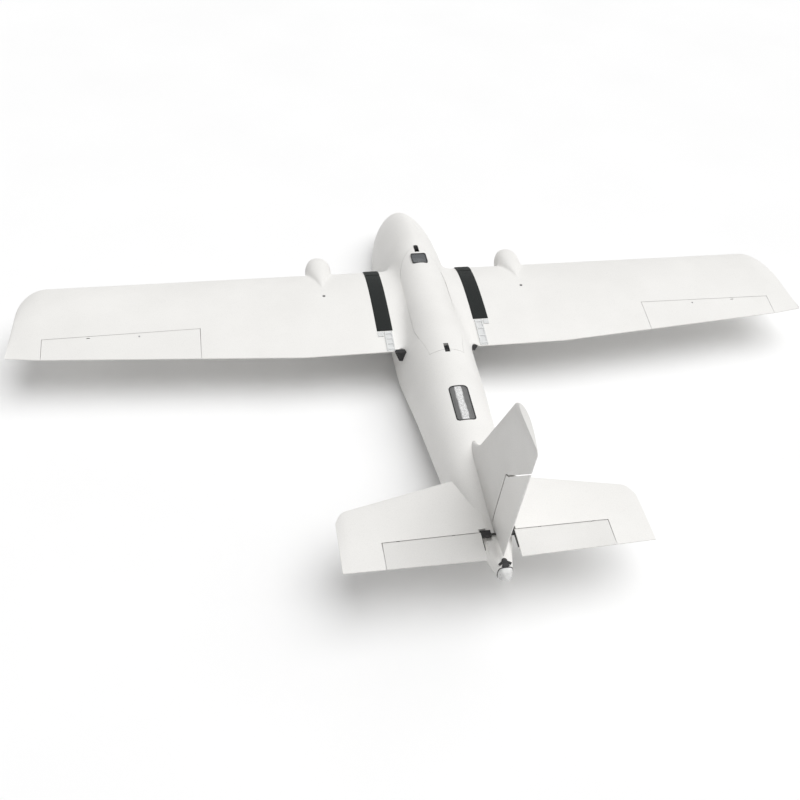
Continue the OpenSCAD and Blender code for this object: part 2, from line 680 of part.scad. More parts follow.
module tailplane(s) {
  color(foam) place() sides(s) difference() {
    meshed() difference() {
      tail_solid();
      body_solid(0, -nose_y + 1, cone_y);
      loft([for (x = [10, 32, 120, 210]) elev_cove(x)]);
      joiner_room();
      if (s > 0) elev_frame() servo_pocket(tail_rod, 9, 17, tail_arm);
      for (x = [80, 180]) translate([x, elev_y, tail_z]) hinge_slot(15);
    }
    translate([0, tube_y, tail_z]) rotate([0, 90, 0]) cylinder(r = 3.05, h = 180);
  }
}

module tail_tube() {
  color(black) place() translate([-175, tube_y, tail_z]) rotate([0, 90, 0]) difference() {
    cylinder(r = 3, h = 350);
    translate([0, 0, -1]) cylinder(r = 2, h = 352);
  }
}

module elevator(s) {
  color(foam) place() sides(s) difference() {
    meshed() difference() {
      loft([for (x = [31.5, 120, 208.5]) elev_ring(x)]);
      if (s > 0) elev_frame() horn_seat(tail_hy(elev_st, elev_y + 8));
      for (x = [80, 180]) translate([x, elev_y, tail_z]) hinge_notch(5);
    }
    for (x = [80, 180]) translate([x, elev_y, tail_z]) hinge_bore();
    translate([20, elev_y, tail_z]) rotate([0, 90, 0]) cylinder(r = 2.05, h = 41);
  }
}

module elevator_joiner() {
  color(black) place() {
    translate([-60, elev_y, tail_z]) rotate([0, 90, 0]) cylinder(r = 2, h = 120);
    for (s = [1, -1]) sides(s) {
      translate([12, elev_y - 9, tail_z - 4]) cube([19.3, 13, 6]);
      translate([29.6, elev_y, tail_z - 2]) cube([1.7, 34, 4]);
    }
  }
}

module elevator_hinges() {
  color(black) place() for (s = [1, -1]) sides(s) for (x = [80, 180])
    translate([x, elev_y, tail_z]) hinge(15);
}

module elevator_servo() {
  color([0.18, 0.18, 0.2]) place() elev_frame() servo(tail_rod, 9, 17);
}

module elevator_arm() {
  color([0.85, 0.85, 0.85]) place() elev_frame() arm(tail_rod, tail_arm);
}

module elevator_rod() {
  color([0.7, 0.7, 0.72]) place() elev_frame() rod(tail_rod, tail_arm);
}

module elevator_horn() {
  color(black) place() elev_frame() horn(tail_arm, tail_hy(elev_st, elev_y + 8));
}

module fin() {
  color(foam) place() meshed() difference() {
    fin_foot();
    joiner_room();
    rud_block(1.4);
    translate([-20, elev_y, 0]) cube([40, 60, 24]);
    rud_frame() servo_pocket(tail_rod, 9, 17, tail_arm);
    for (d = [30, 140]) rud_frame(d) hinge_slot(15);
  }
}

module rudder() {
  color(foam) place() difference() {
    meshed() difference() {
      rud_block(0);
      rud_frame() horn_seat(6);
      for (d = [30, 140]) rud_frame(d) hinge_notch(8);
    }
    for (d = [30, 140]) rud_frame(d) hinge_bore();
  }
}

module rudder_hinges() {
  color(black) place() for (d = [30, 140]) rud_frame(d) hinge(15);
}

module rudder_servo() {
  color([0.18, 0.18, 0.2]) place() rud_frame() servo(tail_rod, 9, 17);
}

module rudder_arm() {
  color([0.85, 0.85, 0.85]) place() rud_frame() arm(tail_rod, tail_arm);
}

module rudder_rod() {
  color([0.7, 0.7, 0.72]) place() rud_frame() rod(tail_rod, tail_arm);
}

module rudder_horn() {
  color(black) place() rud_frame() horn(tail_arm, 6);
}

module tail_cap() {
  color([0.85, 0.85, 0.84]) place() meshed() loft([for (i = [0:7]) let (r = 1 - 0.8 * pow(i / 7, 1.7),
    p = body_ring(cone_y, 0.5, 28)) [for (q = p) [q[0] * r, cone_y + 1.4 + 17 * i / 7, q[2] * r]]]);
}

// Black clip: a gasket ring round the cone end and four claws over the top
module tail_clip() {
  color(black) place() meshed() union() {
    loft([for (y = [cone_y, cone_y + 1.4]) body_ring(y, -0.4, 28)]);
    for (a = [-55, -22, 22, 55]) translate([0, cone_y - 13, 14.2])
      rotate(a) translate([-2, 0, 0]) cube([4, 13.5, 2.2]);
    translate([-4, cone_y - 13, 14.2]) cube([8, 14.1, 2.2]);
    translate([0, cone_y - 13, 14.2]) cylinder(r = 5, h = 2.6, $fn = 24);
  }
}

module equipment_tray() {
  color([0.72, 0.6, 0.42]) place() difference() {
    translate([-36, -350, -belly_z + wall + 0.45]) cube([72, 352, 2.55]);
    for (y = [-320, -230]) for (s = [-1, 1]) translate([s * 34.7 - 1.1, y - 10, -belly_z]) cube([2.2, 20, 20]);
  }
}

module battery() {
  color([0.1, 0.2, 0.45]) place() translate([-32, -345, -belly_z + wall + 3]) cube([64, 140, 42]);
}

place() fuselage(1);  // fuselage_left
place() fuselage(-1);  // fuselage_right
place() hatch();
place() latch(-1);  // hatch_latch_front
place() latch(1);  // hatch_latch_rear
window_rim();
window_pane();
gps_module();
vent_plate();
vent_rim();
wing(1);  // wing_left
wing(-1);  // wing_right
nacelle(1);  // nacelle_left
nacelle(-1);  // nacelle_right
motor_plate(1);  // motor_plate_left
motor_plate(-1);  // motor_plate_right
speed_controllers();
nacelle_bolts();
wing_strap(1);  // wing_strap_left
wing_strap(-1);  // wing_strap_right
joint_cover(1);  // joint_cover_left
joint_cover(-1);  // joint_cover_right
root_bracket(1);  // root_bracket_left
root_bracket(-1);  // root_bracket_right
main_spar();
rear_spar();
aileron(1);  // aileron_left
aileron(-1);  // aileron_right
aileron_hinges(1);  // aileron_hinges_left
aileron_hinges(-1);  // aileron_hinges_right
aileron_servo(1);  // aileron_servo_left
aileron_servo(-1);  // aileron_servo_right
aileron_arm(1);  // aileron_arm_left
aileron_arm(-1);  // aileron_arm_right
aileron_rod(1);  // aileron_rod_left
aileron_rod(-1);  // aileron_rod_right
aileron_horn(1);  // aileron_horn_left
aileron_horn(-1);  // aileron_horn_right
tailplane(1);  // tailplane_left
tailplane(-1);  // tailplane_right
tail_tube();
elevator(1);  // elevator_left
elevator(-1);  // elevator_right
elevator_joiner();
elevator_hinges();
elevator_servo();
elevator_arm();
elevator_rod();
elevator_horn();
fin();
rudder();
rudder_hinges();
rudder_servo();
rudder_arm();
rudder_rod();
rudder_horn();
tail_cap();
tail_clip();
equipment_tray();
battery();
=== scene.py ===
import bpy, bmesh, json, math
import numpy as np
from mathutils import Matrix, Vector


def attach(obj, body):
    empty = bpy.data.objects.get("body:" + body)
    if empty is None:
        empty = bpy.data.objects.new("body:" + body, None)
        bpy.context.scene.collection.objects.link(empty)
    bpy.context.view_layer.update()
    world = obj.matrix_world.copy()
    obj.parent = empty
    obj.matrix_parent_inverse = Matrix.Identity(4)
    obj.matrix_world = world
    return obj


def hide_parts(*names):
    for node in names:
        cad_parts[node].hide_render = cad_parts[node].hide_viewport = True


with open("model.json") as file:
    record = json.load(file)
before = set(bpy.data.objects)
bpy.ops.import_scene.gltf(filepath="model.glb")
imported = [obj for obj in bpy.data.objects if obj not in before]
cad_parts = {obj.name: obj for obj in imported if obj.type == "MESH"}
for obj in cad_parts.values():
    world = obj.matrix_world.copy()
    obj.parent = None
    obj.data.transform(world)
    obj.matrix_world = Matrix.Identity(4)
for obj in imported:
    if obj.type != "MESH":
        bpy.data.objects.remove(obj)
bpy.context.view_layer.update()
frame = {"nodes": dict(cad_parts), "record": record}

# ---- sizes in millimetres: X across, Y aft of the root trailing edge, Z above the wing plane ----
# wing: span, root chord, how far the trailing edge sweeps, thickness and camber over chord, strapped joint
SPAN, ROOT, SWEEP, THICK, CAMBER, JOINT = 1800.0, 296.0, 49.0, 0.112, 0.028, 110.0
HALF, TIP = SPAN / 2, SPAN / 2 - 65
# nacelle: place across, reach ahead of the wing, radius
NAC_X, NAC_REACH, NAC_R = 231.0, 49.0, 30.0
# body: nose tip ahead of the origin, nose length, half width, spine and belly heights, cone end, foam wall
NOSE_Y, NOSE_LEN, BODY_W, SPINE_Z, BELLY_Z, CONE_Y, WALL = 607.0, 270.0, 85.0, 65.0, 98.0, 604.0, 8.0
NOSE_Z = -70.0
HATCH0, HATCH1, WINDOW_Y, VENT_Y = -313.0, 65.0, -268.0, 221.0
# ailerons: inner and outer end, hinge line ahead of the origin, horn and hinge pin places
AIL_IN, AIL_OUT, AIL_H, AIL_HORN, AIL_PINS = 505.0, 830.0, 107.0, 632, (605, 736)
# tail: half span, height, elevator hinge line, fin top, rudder hinge foot and lean, hinge gap
TAIL_HALF, TAIL_Z, ELEV_Y, FIN_TOP, RUD_Y, RUD_LEAN, GAP = 284.0, 24.0, 536.5, 342.0, 515.0, 11.5, 0.7
ELEV_HORN, ELEV_PINS, RUD_HORN, RUD_PINS = 120, (80, 180), 66, (30, 140)
# distance from hinge to servo, on the wing and on the tail
WING_ROD, TAIL_ROD = 58, 50
# tubes through the foam: place and radius of the bore
SPAR_Y, SPAR_Z, SPAR_BORE = -200, 14, 6.05
REAR_Y, REAR_Z, REAR_BORE = -70, 9, 4.05
TUBE_Y, TUBE_BORE = 462, 3.05
# shift from this frame to the shared one
Y_OFF, Z_OFF = (NOSE_Y - 645) / 2, BELLY_Z


def mix(a, b, t):
    return a + (b - a) * t


def clamp(t):
    return min(1.0, max(0.0, t))


def ease(t):
    return clamp(t) ** 2 * (3 - 2 * clamp(t))


def spow(v, e):
    """Power that keeps the sign."""
    return math.copysign(abs(v) ** e, v) if v else 0.0


def sgn(v):
    return 1 if v > 0 else -1 if v < 0 else 0


def nose_t(y, y1):
    return clamp((y1 - y) / (NOSE_Y + y1))


# ---- body sections ----
def body_hw(y):
    if y < 0:
        round_nose = max(0, 1 - nose_t(y, NOSE_LEN - NOSE_Y) ** 2.5) ** 0.5
        return mix(BODY_W, BODY_W + 1, (y + 300) / 300) * round_nose
    return mix(BODY_W + 1, 61, y / 405) if y < 405 else mix(61, 14, (y - 405) / (CONE_Y - 405))


def bulge(y):
    return mix(1.78, 2.05, ease((y + 440) / 260)) + 1.5 * ease((y - 330) / 90)


def waist(y):
    return mix(0.14, 0.36, ease((y + 60) / 260))


def body_top(y):
    if y < 0:
        return NOSE_Z + (SPINE_Z - NOSE_Z) * max(0, 1 - nose_t(y, NOSE_LEN + 30 - NOSE_Y) ** 2.2) ** 0.52
    return mix(SPINE_Z, 50, ease(y / 354)) if y < 354 else mix(50, 14, ease((y - 395) / 190))


def body_bot(y):
    if y < 0:
        return NOSE_Z - (BELLY_Z + NOSE_Z) * max(0, 1 - nose_t(y, NOSE_LEN - 20 - NOSE_Y) ** 2.4) ** 0.52
    return mix(-BELLY_Z, -14, clamp((y - 40) / (CONE_Y - 40)) ** 1.15)


def body_ring(y, t, n):
    w, top, bot = body_hw(y) - t, body_top(y) - t, body_bot(y) + t
    zc, b, out = mix(bot, top, waist(y)), bulge(y), []
    for j in range(n):
        s, c = math.sin(2 * math.pi * j / n), math.cos(2 * math.pi * j / n)
        z = zc + (top - zc) * spow(c, 2 / b) if c > 0 else max(bot, zc + (zc - bot) * 1.12 * spow(c, 2 / 3))
        out.append((w * spow(s, 2 / b), y, z))
    return out


def body_z(x, y):
    top = body_top(y)
    zc = mix(body_bot(y), top, waist(y))
    return zc + (top - zc) * max(0, 1 - (abs(x) / body_hw(y)) ** bulge(y)) ** (1 / bulge(y))


# ---- wing sections ----
def lead_y(x):
    if x < TIP:
        return -ROOT
    if x < TIP + 57:
        return -ROOT + 88 * (1 - math.sqrt(max(0, 1 - ((x - TIP) / 57) ** 2)))
    return mix(88 - ROOT, -70, (x - TIP - 57) / (HALF - TIP - 57))


def trail_y(x):
    if x < 290:
        return -8.0
    return -8 - (SWEEP * (x - 290) / (TIP - 290) if x < TIP else SWEEP + 11 * (x - TIP) / (HALF - TIP))


def naca(u):
    return 5 * THICK * (0.2969 * math.sqrt(u) - 0.126 * u - 0.3516 * u * u + 0.2843 * u ** 3 - 0.1036 * u ** 4)


def arch(u):
    return CAMBER * (0.8 * u - u * u) / 0.16 if u < 0.4 else CAMBER * (0.2 + 0.8 * u - u * u) / 0.36


def wing_yz(x, v):
    u, c = abs(v), trail_y(x) - lead_y(x)
    k = 1 if x < TIP else mix(1, 0.35, ((x - TIP) / (HALF - TIP)) ** 2)
    sg = sgn(v)
    return lead_y(x) + u * c, 4 + 3 * (1 - u) + arch(u) * c + sg * (naca(u) * c * k + 0.9 * u)


def wing_at(x, v, o=0.0):
    """A point o above the wing skin: v runs from -1 at the lower trailing edge to 1 at the upper."""
    y, z = wing_yz(x, v)
    if o:
        a, b = wing_yz(x, max(-1, v - 0.004)), wing_yz(x, min(1, v + 0.004))
        ty, tz = b[0] - a[0], b[1] - a[1]
        m = math.hypot(ty, tz)
        y, z = y - tz / m * o, z + ty / m * o
    return x, y, z


def fan(m):
    """Places round a section, closest together at its nose."""
    return [math.copysign(1 - math.cos(math.pi / 2 * abs(i) / m), i) for i in range(-m, m + 1)]


def wing_z(x, y, s=1):
    return wing_yz(x, s * clamp((y - lead_y(x)) / (trail_y(x) - lead_y(x))))[1]


# ---- tail sections ----
def tail_lead(x):
    return 387.4 + 0.236 * x + (22 * ((x - 262) / 22) ** 2.4 if x > 262 else 0)


def tail_trail(x):
    return 593 - 0.018 * x


def tail_h(x, y):
    c = tail_trail(x) - tail_lead(x)
    u = clamp((y - tail_lead(x)) / c)
    return naca(u) / THICK * 0.078 * c * (mix(1, 0.4, ((x - 262) / 22) ** 2) if x > 262 else 1) + 0.8 * u


def fin_lead(z):
    tip = 9 * ((z - FIN_TOP + 14) / 14) ** 2 if z > FIN_TOP - 14 else 0
    foot = 60 * clamp((95 - z) / 70) ** 2
    return 354 + 0.606 * (z - 54) + tip - foot


def fin_trail(z):
    return 582 + 0.196 * (z - 12) - (8 * ((z - FIN_TOP + 10) / 10) ** 2 if z > FIN_TOP - 10 else 0)


def fin_h(z, y):
    c = fin_trail(z) - fin_lead(z)
    u = clamp((y - fin_lead(z)) / c)
    k = mix(1, 0.66, ((z - FIN_TOP + 12) / 12) ** 2) if z > FIN_TOP - 12 else 1
    return (naca(u) / THICK * min(0.14 * c, mix(22, 17, z / FIN_TOP)) + 0.9 * u) * k


def rud_at(z):
    return RUD_Y + math.tan(math.radians(RUD_LEAN)) * (z - 20)


# ---- mesh tools ----
def piece(name, verts, faces):
    me = bpy.data.meshes.new(name)
    me.from_pydata([(x / 1000, (y + Y_OFF) / 1000, (z + Z_OFF) / 1000) for x, y, z in verts], [], faces)
    bm = bmesh.new()
    bm.from_mesh(me)
    bmesh.ops.remove_doubles(bm, verts=bm.verts, dist=1e-6)
    bmesh.ops.recalc_face_normals(bm, faces=bm.faces)
    bm.to_mesh(me)
    bm.free()
    ob = bpy.data.objects.new(name, me)
    bpy.context.scene.collection.objects.link(ob)
    return ob


def loft(name, rings):
    n, m = len(rings[0]), len(rings)
    faces = [(i * n + j, (i + 1) * n + j, (i + 1) * n + (j + 1) % n, i * n + (j + 1) % n)
        for i in range(m - 1) for j in range(n)]
    faces += [tuple(range(n)), tuple((m - 1) * n + j for j in range(n))]
    return piece(name, [p for r in rings for p in r], faces)


def block(x0, x1, y0, y1, z0, z1):
    return loft("cut", [[(x, y0, z0), (x, y1, z0), (x, y1, z1), (x, y0, z1)] for x in (x0, x1)])


def prism(points, z0, z1):
    return loft("cut", [[(x, y, z) for x, y in points] for z in (z0, z1)])


def rounded(cx, cy, lx, ly, r, n=8):
    out = []
    for qx, qy, a0 in ((1, 1, 0), (-1, 1, 90), (-1, -1, 180), (1, -1, 270)):
        for i in range(n + 1):
            a = math.radians(a0 + 90 * i / n)
            out.append((cx + qx * (lx / 2 - r) + r * math.cos(a), cy + qy * (ly / 2 - r) + r * math.sin(a)))
    return out


def circle(cx, cy, r, n):
    turn = 2 * math.pi / n
    return [(cx + r * math.cos(turn * i), cy + r * math.sin(turn * i)) for i in range(n)]


def rod_x(x0, x1, y, z, r, n=40):
    return loft("cut", [[(x, a, b) for a, b in circle(y, z, r, n)] for x in (x0, x1)])


def rod_y(x, z, y0, y1, r, n=60):
    return loft("cut", [[(a, y, b) for a, b in circle(x, z, r, n)] for y in (y0, y1)])


def rod_z(x, y, z0, z1, r, n=40):
    return prism(circle(x, y, r, n), z0, z1)


def boolean(ob, other, op="DIFFERENCE"):
    """Cuts or joins, and removes the other piece."""
    m = ob.modifiers.new("b", "BOOLEAN")
    m.object, m.operation, m.solver = other, op, "MANIFOLD"
    bpy.context.view_layer.update()
    me = bpy.data.meshes.new_from_object(ob.evaluated_get(bpy.context.evaluated_depsgraph_get()))
    ob.modifiers.remove(m)
    if len(me.vertices) == 0:
        print("boolean left nothing:", ob.name, op)
        return ob
    ob.data = me
    bpy.data.objects.remove(other, do_unlink=True)
    return ob


def cut(ob, *others):
    for o in others:
        boolean(ob, o)
    return ob


def clone(ob, name):
    c = ob.copy()
    c.data = ob.data.copy()
    c.name = name
    bpy.context.scene.collection.objects.link(c)
    return c


def mirrored(ob, name):
    c = clone(ob, name)
    c.data.transform(Matrix.Scale(-1, 4, (1, 0, 0)))
    c.data.flip_normals()
    return c


def smooth(ob, angle=38):
    ob.data.polygons.foreach_set("use_smooth", [True] * len(ob.data.polygons))
    ob.data.set_sharp_from_angle(angle=math.radians(angle))
    return ob


def relax(ob, near, rounds):
    """Rounds the crease where two shapes meet: near(x, y, z) in mm gives how strongly each point relaxes."""
    bm = bmesh.new()
    bm.from_mesh(ob.data)
    co = np.array([v.co for v in bm.verts]) * 1000 - np.array((0, Y_OFF, Z_OFF))
    w = np.array([near(*p) for p in co])
    e = np.array([(a.verts[0].index, a.verts[1].index) for a in bm.edges])
    deg = np.zeros(len(co))
    np.add.at(deg, e[:, 0], 1)
    np.add.at(deg, e[:, 1], 1)
    for _ in range(rounds):
        s = np.zeros_like(co)
        np.add.at(s, e[:, 0], co[e[:, 1]])
        np.add.at(s, e[:, 1], co[e[:, 0]])
        co = co + (s / deg[:, None] - co) * (w * 0.6)[:, None]
    co = (co + np.array((0, Y_OFF, Z_OFF))) / 1000
    for v, p in zip(bm.verts, co):
        v.co = p
    bm.to_mesh(ob.data)
    bm.free()
    return ob


# ---- fuselage ----
def body_solid(name, t, y0, y1, n=128, step=7.0):
    nose = [-NOSE_Y + NOSE_LEN * (1 - math.cos(math.radians(a))) for a in np.arange(2.5, 90, 2.5)]
    ys = [y0] + [y for y in nose if y > y0 + 1]
    y = ys[-1] + step
    while y < y1 - 2:
        ys.append(y)
        y += step
    return loft(name, [body_ring(q, t, n) for q in ys + [y1]])


def wing_ring(x, m):
    return [wing_at(x, v) for v in fan(m)]


def stub():
    rings = []
    for x in [0, 20, 40] + list(np.arange(44, 108, 4)) + [JOINT]:
        k = clamp((92 - x) / 50) ** 2
        ring = wing_ring(x, 40)
        rings.append([(x, y + (10 if y > -150 else -6) * k, (z - 6) * (1 + 0.3 * k) + 6) for _, y, z in ring])
    return loft("cut", rings)


def hatch_plan(o, n=48, rear=0.0):
    pts = []
    for s in (1, -1):
        for i in range(n + 1):
            t = i / n if s > 0 else 1 - i / n
            y = mix(HATCH0 - o, HATCH1 + o, t)
            q = clamp((y - HATCH0 + o) / 120)
            w = 52 * math.sqrt(q * (2 - q)) - 15 * ease((y + 40) / 110)
            pts.append((s * max(3, w + o), y + (rear if t > 0.999 else 0)))
    return pts


def latch_seats():
    out = []
    for s in (-1, 1):
        y = HATCH1 if s > 0 else HATCH0
        z = body_z(0, y)
        for x, a, b, lo, hi in ((5.4, -19.6, 7.6, -5.4, 34.6), (7.9, -19.6, -6.6, -8.6, -4.8)):
            ys = sorted((y + s * a, y + s * b))
            out.append(block(-x, x, ys[0], ys[1], z + lo, z + hi))
    return out


def near_root(x, y, z):
    """Strong where the stubs run into the body, on the upper side."""
    x = abs(x)
    if x < 44 or x > 90 or y < -304 or y > 8 or z < -24:
        return 0.0
    return clamp((x - 44) / 10) * clamp((90 - x) / 12) * clamp((8 - y) / 14)


def refine(ob, x0, x1, y0, y1, size):
    """Splits long edges in a band, so that it can be rounded evenly."""
    bm = bmesh.new()
    bm.from_mesh(ob.data)
    bmesh.ops.triangulate(bm, faces=bm.faces)
    for _ in range(3):
        es = []
        for e in bm.edges:
            c = (e.verts[0].co + e.verts[1].co) * 500
            if e.calc_length() * 1000 > size * 1.5 and x0 < abs(c.x) < x1 and y0 < c.y - Y_OFF < y1:
                es.append(e)
        if not es:
            break
        bmesh.ops.subdivide_edges(bm, edges=es, cuts=1)
        bmesh.ops.triangulate(bm, faces=[f for f in bm.faces if len(f.verts) > 3])
    bm.to_mesh(ob.data)
    bm.free()


outer = body_solid("fuselage", 0, -NOSE_Y + 1, CONE_Y)
st = stub()
boolean(outer, mirrored(st, "cut"), "UNION")
boolean(outer, st, "UNION")
refine(outer, 42, 92, -306, 12, 4.0)
relax(outer, near_root, 60)
cut(outer, body_solid("cut", WALL, -NOSE_Y + 14, 380, 96))
# the hatch opening, with a step for the hatch to rest on
upper = prism(hatch_plan(0.14, rear=0.5), 0, 120)
cut(upper, body_solid("cut", WALL / 2 + 0.2, -NOSE_Y + 8, 200, 96))
cut(outer, upper, prism(hatch_plan(-5.6), 0, 120), *latch_seats())
cut(outer, prism(rounded(0, VENT_Y, 40.4, 95.4, 8), 0, 90))
cut(outer, rod_x(-40, 40, ELEV_Y, TAIL_Z, 5.2))
for s in (1, -1):
    cut(outer, rod_x(min(s * 11, s * 34), max(s * 11, s * 34), ELEV_Y, TAIL_Z, 11.4, 60))
    inner_x, outer_x = sorted((s * 20, s * 60))
    cut(outer, block(inner_x, outer_x, ELEV_Y - 9, ELEV_Y + 61, TAIL_Z - 16, TAIL_Z + 24))
cut(outer, rod_x(-400, 400, SPAR_Y, SPAR_Z, SPAR_BORE), rod_x(-220, 220, REAR_Y, REAR_Z, REAR_BORE))
cut(outer, rod_x(-200, 200, TUBE_Y, TAIL_Z, TUBE_BORE))
outer.name = "fuselage_shell"
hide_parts("fuselage_left", "fuselage_right")

skin = body_solid("hatch_cover", 0, -NOSE_Y + 1, CONE_Y)
cut(skin, body_solid("cut", WALL / 2 - 0.2, -NOSE_Y + 8, CONE_Y + 1, 96))
boolean(skin, prism(hatch_plan(-0.14), 0, 120), "INTERSECT")
inner = body_solid("cut", WALL / 2 - 0.3, -NOSE_Y + 6, CONE_Y, 96)
cut(inner, body_solid("cut", WALL, -NOSE_Y + 12, CONE_Y + 1, 96))
boolean(inner, prism(hatch_plan(-6.4), 0, 120), "INTERSECT")
boolean(skin, inner, "UNION")
cut(skin, prism(rounded(0, WINDOW_Y, 36.2, 38.2, 5), 55, 75),
    prism(rounded(0, WINDOW_Y, 28, 30, 3), 40, 70), *latch_seats())
hatch = skin
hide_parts("hatch")


# ---- wings ----
def nac_ring(y, n=72):
    f = -ROOT - NAC_REACH
    a = math.sqrt(max(0, 1 - ((-315 - y) / (-315 - f + 14)) ** 2)) if y < -315 else 1
    b = 1 - 0.93 * ease((y + 300) / 108) if y > -290 else 1
    w, zc = NAC_R * a * b, mix(2, 12, ease((y + 310) / 110))
    h = NAC_R * a * mix(0.52, 1, b)
    out = []
    for j in range(n):
        s, c = math.sin(2 * math.pi * j / n), math.cos(2 * math.pi * j / n)
        out.append((NAC_X + w * spow(s, 2 / 2.2), y,
            zc + h * (mix(1, 1.35, b * b) if c < 0 else 1) * spow(c, 2 / 2.2)))
    return out


# sections lie closer together at the nacelle and round the tip
xs = [JOINT + 0.2, *np.arange(118, 180, 9), *np.arange(182, 284, 2.5), *np.arange(288, TIP, 12)]
xs += [TIP + d for d in (0, 6, 12, 18, 24, 29, 34, 38, 42, 46, 49, 52, 54.5, 56.5, 58.5, 61, 63.5, 65)]
wing = loft("wing_panel_left", [wing_ring(x, 48) for x in xs])
f = -ROOT - NAC_REACH
nac_ys = [f, f + 0.6, f + 1.5, f + 3, *np.arange(f + 5, -190, 2.5), -190]
nac = loft("cut", [nac_ring(y) for y in nac_ys])
boolean(wing, nac, "UNION")
AIL_Z = (wing_z(670, -AIL_H) + wing_z(670, -AIL_H, -1)) / 2


def half_round(x, y, z, zt, zb, g, n=16):
    out = []
    for i in range(n + 1):
        a, r = math.pi * i / n, mix(zt - z, z - zb, i / n) + g
        out.append((x, y - r * math.sin(a), z + r * math.cos(a)))
    return out


def near_nacelle(x, y, z):
    dx = abs(x - NAC_X)
    if dx > 52 or y < -335 or y > -172:
        return 0.0
    ring_w = NAC_R * (1 - 0.93 * ease((y + 300) / 108) if y > -290 else 1)
    on = abs(dx - ring_w * 0.93)
    front = clamp((y + 322) / 14)
    return front * clamp(1 - (on - 3) / 9)


relax(wing, near_nacelle, 14)
cut(wing, rod_y(NAC_X, 3, f - 1, f + 3, 19.05), rod_y(NAC_X, 3, f + 2, f + 62, 16))


def aileron_bay(x):
    nose = half_round(x, -AIL_H, AIL_Z, wing_z(x, -AIL_H), wing_z(x, -AIL_H, -1), GAP)
    return [(x, 20, 60), (x, -AIL_H, 60)] + nose + [(x, -AIL_H, -60), (x, 20, -60)]


cut(wing, loft("cut", [aileron_bay(x) for x in np.linspace(AIL_IN, AIL_OUT, 30)]))
cut(wing, block(AIL_HORN - 23.4, AIL_HORN + 5.6, -AIL_H - WING_ROD - 21.8, -AIL_H - WING_ROD + 15.6,
    AIL_Z - 40, AIL_Z + 6))
for x in AIL_PINS:
    cut(wing, block(x - 3.05, x + 3.05, -AIL_H - 18.05, -AIL_H - 0.05, AIL_Z - 1.25, AIL_Z + 1.25))
cut(wing, rod_x(100, 400, SPAR_Y, SPAR_Z, SPAR_BORE), rod_x(100, 220, REAR_Y, REAR_Z, REAR_BORE),
    rod_z(NAC_X, -188, 14, 44, 3.6))
wing_r = mirrored(wing, "wing_panel_right")
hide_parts("wing_left", "nacelle_left")
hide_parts("wing_right", "nacelle_right")


def flap_ring(x, y0, trail, z0, top, bot, n=24, nose=16):
    ys = [mix(y0, trail(x), i / n) for i in range(1, n + 1)]
    front = half_round(x, y0, z0, top(x, y0), bot(x, y0), 0, nose)
    return [(x, y, top(x, y)) for y in reversed(ys)] + front + [(x, y, bot(x, y)) for y in ys]


def wing_under(x, y):
    return wing_z(x, y, -1)


aileron = loft("aileron_foam_left", [flap_ring(x, -AIL_H, trail_y, AIL_Z, wing_z, wing_under)
    for x in np.linspace(AIL_IN + 1, AIL_OUT - 1, 40)])
HALF_AIL = AIL_Z - wing_z(AIL_HORN, -AIL_H + 8, -1)
cut(aileron, block(AIL_HORN - 4.05, AIL_HORN + 6.05, -AIL_H + 3.45, -AIL_H + 16.55, AIL_Z - HALF_AIL - 20,
    AIL_Z - HALF_AIL + 1.45))
for x in AIL_PINS:
    cut(aileron, block(x - 3.6, x + 3.6, -AIL_H - 11, -AIL_H + 4, AIL_Z - 6.8, AIL_Z + 6.8))
aileron_r = mirrored(aileron, "aileron_foam_right")
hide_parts("aileron_left")
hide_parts("aileron_right")


# ---- tailplane ----
def tail_ring(x, m=32):
    out = []
    for v in fan(m):
        y = mix(tail_lead(x), tail_trail(x), abs(v))
        out.append((x, y, TAIL_Z + sgn(v) * tail_h(x, y)))
    return out


def tail_top(x, y):
    return TAIL_Z + tail_h(x, y)


def tail_under(x, y):
    return TAIL_Z - tail_h(x, y)


def elevator_bay(x):
    nose = half_round(x, ELEV_Y, TAIL_Z, tail_top(x, ELEV_Y), tail_under(x, ELEV_Y), GAP + 0.4)
    return [(x, 620, 70), (x, ELEV_Y, 70)] + nose + [(x, ELEV_Y, -20), (x, 620, -20)]


plane_xs = [20, *np.arange(30, 260, 8), 262, 266, 270, 273, 276, 278.5, 281, 283, TAIL_HALF]
plane = loft("tailplane_foam_left", [tail_ring(x) for x in plane_xs])
cut(plane, body_solid("cut", 0, -NOSE_Y + 1, CONE_Y))
cut(plane, loft("cut", [elevator_bay(x) for x in (10, 32, 76, 120, 165, 210)]))
cut(plane, rod_x(-40, 40, ELEV_Y, TAIL_Z, 5.2), rod_x(11, 34, ELEV_Y, TAIL_Z, 11.4, 60),
    rod_x(0, 180, TUBE_Y, TAIL_Z, TUBE_BORE))
for x in ELEV_PINS:
    cut(plane, block(x - 3.05, x + 3.05, ELEV_Y - 15.05, ELEV_Y - 0.05, TAIL_Z - 1.25, TAIL_Z + 1.25))
plane_r = mirrored(plane, "tailplane_foam_right")
cut(plane, block(ELEV_HORN - 20.4, ELEV_HORN + 5.6, ELEV_Y - TAIL_ROD - 17.45, ELEV_Y - TAIL_ROD + 14.1,
    TAIL_Z - 40, TAIL_Z + 4.5))
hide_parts("tailplane_left")
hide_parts("tailplane_right")
elev = loft("elevator_foam_left", [flap_ring(x, ELEV_Y, tail_trail, TAIL_Z, tail_top, tail_under, 16)
    for x in np.linspace(31.5, 208.5, 20)])
for x in ELEV_PINS:
    cut(elev, block(x - 3.6, x + 3.6, ELEV_Y - 7, ELEV_Y + 4, TAIL_Z - 4, TAIL_Z + 4))
cut(elev, rod_x(20, 61, ELEV_Y, TAIL_Z, 2.05, 24))
elev_r = mirrored(elev, "elevator_foam_right")
eh = tail_h(ELEV_HORN, ELEV_Y + 8)
